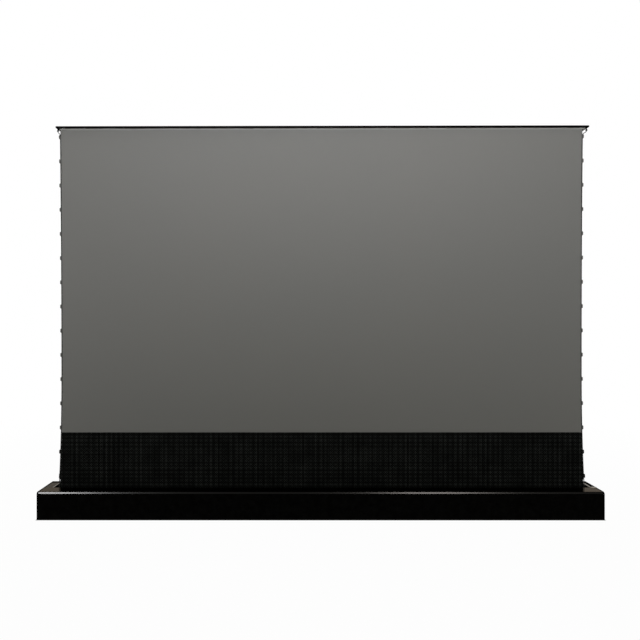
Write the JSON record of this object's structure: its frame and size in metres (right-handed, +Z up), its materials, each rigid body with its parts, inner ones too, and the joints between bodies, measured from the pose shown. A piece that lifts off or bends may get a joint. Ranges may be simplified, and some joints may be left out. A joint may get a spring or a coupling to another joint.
{
  "type": "floor rising projection screen",
  "caption": "Motorised floor rising projection screen: tab tensioned grey fabric on a crossed-arm lift that folds into a long black case.",
  "frame": {"origin": "on the floor, under the middle of the case", "axes": "+X to the right along the case, +Y away from the viewer, +Z up"},
  "size_m": [2.344, 0.17, 1.649],
  "materials": {
    "black_aluminium": "semi-gloss black anodised extrusion",
    "bare_aluminium": "natural anodised",
    "zinc_steel": "zinc plated",
    "black_plastic": "fine moulded texture",
    "white_plastic": "natural acetal",
    "black_paint": "smooth black paint",
    "rubber": "matte",
    "grey_fabric": "matte grey projection fabric, fine grain",
    "black_fabric": "matte black backing fabric, fine woven grid",
    "black_cord": "braided cord"
  },
  "bodies": {
    "base": {"base_profile": "black_aluminium", "front_cover": "black_aluminium", "end_cap_left": "black_plastic", "end_cap_right": "black_plastic", "foot_front_left": "rubber", "foot_front_right": "rubber", "foot_rear_left": "rubber", "foot_rear_right": "rubber", "power_inlet": "black_plastic", "switch_housing": "black_plastic", "control_box": "black_plastic", "tubular_motor": "black_paint", "roller_bracket_left": "zinc_steel", "roller_bracket_right": "zinc_steel", "guide_rod": "bare_aluminium", "lower_pivot_pin": "zinc_steel", "lower_pivot_block": "black_aluminium", "lower_rail_left": "bare_aluminium", "lower_rail_right": "bare_aluminium", "gas_cylinder_left": "black_paint", "gas_cylinder_right": "black_paint", "projection_fabric": "grey_fabric", "black_drop": "black_fabric", "tension_cord_left": "black_cord", "tension_cord_right": "black_cord", "tab_strip_left": "black_fabric", "tab_strip_right": "black_fabric"},
    "rocker": {"switch_rocker": "black_plastic"},
    "roller": {"roller_tube": "bare_aluminium", "wound_leader": "black_fabric", "idler_plug": "white_plastic", "drive_wheel": "white_plastic"},
    "lower_rear_link": {"lower_rear_link": "zinc_steel"},
    "lower_front_link": {"lower_front_link": "zinc_steel"},
    "rear_arm": {"rear_arm": "black_aluminium", "centre_pin": "zinc_steel", "lower_rear_link_pin": "zinc_steel", "upper_rear_link_pin": "zinc_steel"},
    "front_arm": {"front_arm": "black_aluminium", "lower_front_link_pin": "zinc_steel", "upper_front_link_pin": "zinc_steel"},
    "upper_rear_link": {"upper_rear_link": "zinc_steel"},
    "top_bar": {"top_bar": "black_aluminium", "bar_cap_left": "black_plastic", "bar_cap_right": "black_plastic", "fabric_batten": "bare_aluminium", "upper_rail_left": "bare_aluminium", "upper_rail_right": "bare_aluminium", "upper_pivot_block": "black_aluminium", "upper_pivot_pin": "zinc_steel"},
    "upper_front_link": {"upper_front_link": "zinc_steel"},
    "lower_left_slide": {"lower_slide_block_left": "white_plastic", "gas_rod_left": "zinc_steel"},
    "lower_right_slide": {"lower_slide_block_right": "white_plastic", "gas_rod_right": "zinc_steel"},
    "upper_left_slide": {"upper_slide_block_left": "white_plastic"},
    "upper_right_slide": {"upper_slide_block_right": "white_plastic"}
  },
  "joints": [
    {"name": "lift", "type": "hinge", "parent": "base", "child": "lower_rear_link", "pos_m": [0.008, 0.045, 0.021], "axis": [0, -1, 0], "range_deg": [-45.87, 0], "deforming": ["projection_fabric", "black_drop", "tension_cord_left", "tension_cord_right", "tab_strip_left", "tab_strip_right"]},
    {"name": "rear_arm_turn", "type": "hinge", "parent": "lower_rear_link", "child": "rear_arm", "pos_m": [0.37201, 0.038, 0.42325], "axis": [0, -1, 0], "range_deg": [0, 91.8]},
    {"name": "front_arm_turn", "type": "hinge", "parent": "rear_arm", "child": "front_arm", "pos_m": [0.008, 0.028, 0.8255], "axis": [0, -1, 0], "range_deg": [-91.8, 0]},
    {"name": "upper_rear_link_turn", "type": "hinge", "parent": "rear_arm", "child": "upper_rear_link", "pos_m": [-0.35601, 0.038, 1.22775], "axis": [0, -1, 0], "range_deg": [-91.8, 0]},
    {"name": "bar_turn", "type": "hinge", "parent": "upper_rear_link", "child": "top_bar", "pos_m": [0.008, 0.045, 1.63], "axis": [0, -1, 0], "range_deg": [0, 45.9]},
    {"name": "upper_front_link_turn", "type": "hinge", "parent": "top_bar", "child": "upper_front_link", "pos_m": [0.008, 0.011, 1.63], "axis": [0, -1, 0], "range_deg": [0, 45.9]},
    {"name": "lower_front_link_turn", "type": "hinge", "parent": "base", "child": "lower_front_link", "pos_m": [0.008, 0.011, 0.021], "axis": [0, -1, 0], "range_deg": [0, 45.9]},
    {"name": "lower_left_slide_turn", "type": "hinge", "parent": "front_arm", "child": "lower_left_slide", "pos_m": [-0.72001, 0.021, 0.021], "axis": [0, -1, 0], "range_deg": [0, 45.9]},
    {"name": "lower_right_slide_turn", "type": "hinge", "parent": "rear_arm", "child": "lower_right_slide", "pos_m": [0.73601, 0.035, 0.021], "axis": [0, -1, 0], "range_deg": [-45.9, 0]},
    {"name": "upper_left_slide_turn", "type": "hinge", "parent": "rear_arm", "child": "upper_left_slide", "pos_m": [-0.72001, 0.035, 1.63], "axis": [0, -1, 0], "range_deg": [-45.9, 0]},
    {"name": "upper_right_slide_turn", "type": "hinge", "parent": "front_arm", "child": "upper_right_slide", "pos_m": [0.73601, 0.021, 1.63], "axis": [0, -1, 0], "range_deg": [0, 45.9]},
    {"name": "roller_spin", "type": "hinge", "parent": "base", "child": "roller", "pos_m": [0.008, -0.02225, 0.058], "axis": [1, 0, 0], "range_deg": [-3060, 0]},
    {"name": "switch_rock", "type": "hinge", "parent": "base", "child": "rocker", "pos_m": [-1.075, 0.08, 0.057], "axis": [1, 0, 0], "range_deg": [0, 16]}
  ],
  "couplings": [
    {"joint": "rear_arm_turn", "follows": "lift", "ratio": -2},
    {"joint": "front_arm_turn", "follows": "lift", "ratio": 2},
    {"joint": "upper_rear_link_turn", "follows": "lift", "ratio": 2},
    {"joint": "bar_turn", "follows": "lift", "ratio": -1},
    {"joint": "upper_front_link_turn", "follows": "lift", "ratio": -1},
    {"joint": "lower_front_link_turn", "follows": "lift", "ratio": -1},
    {"joint": "lower_left_slide_turn", "follows": "lift", "ratio": -1},
    {"joint": "lower_right_slide_turn", "follows": "lift", "ratio": 1},
    {"joint": "upper_left_slide_turn", "follows": "lift", "ratio": 1},
    {"joint": "upper_right_slide_turn", "follows": "lift", "ratio": -1},
    {"joint": "roller_spin", "follows": "lift", "ratio": 66.5}
  ]
}
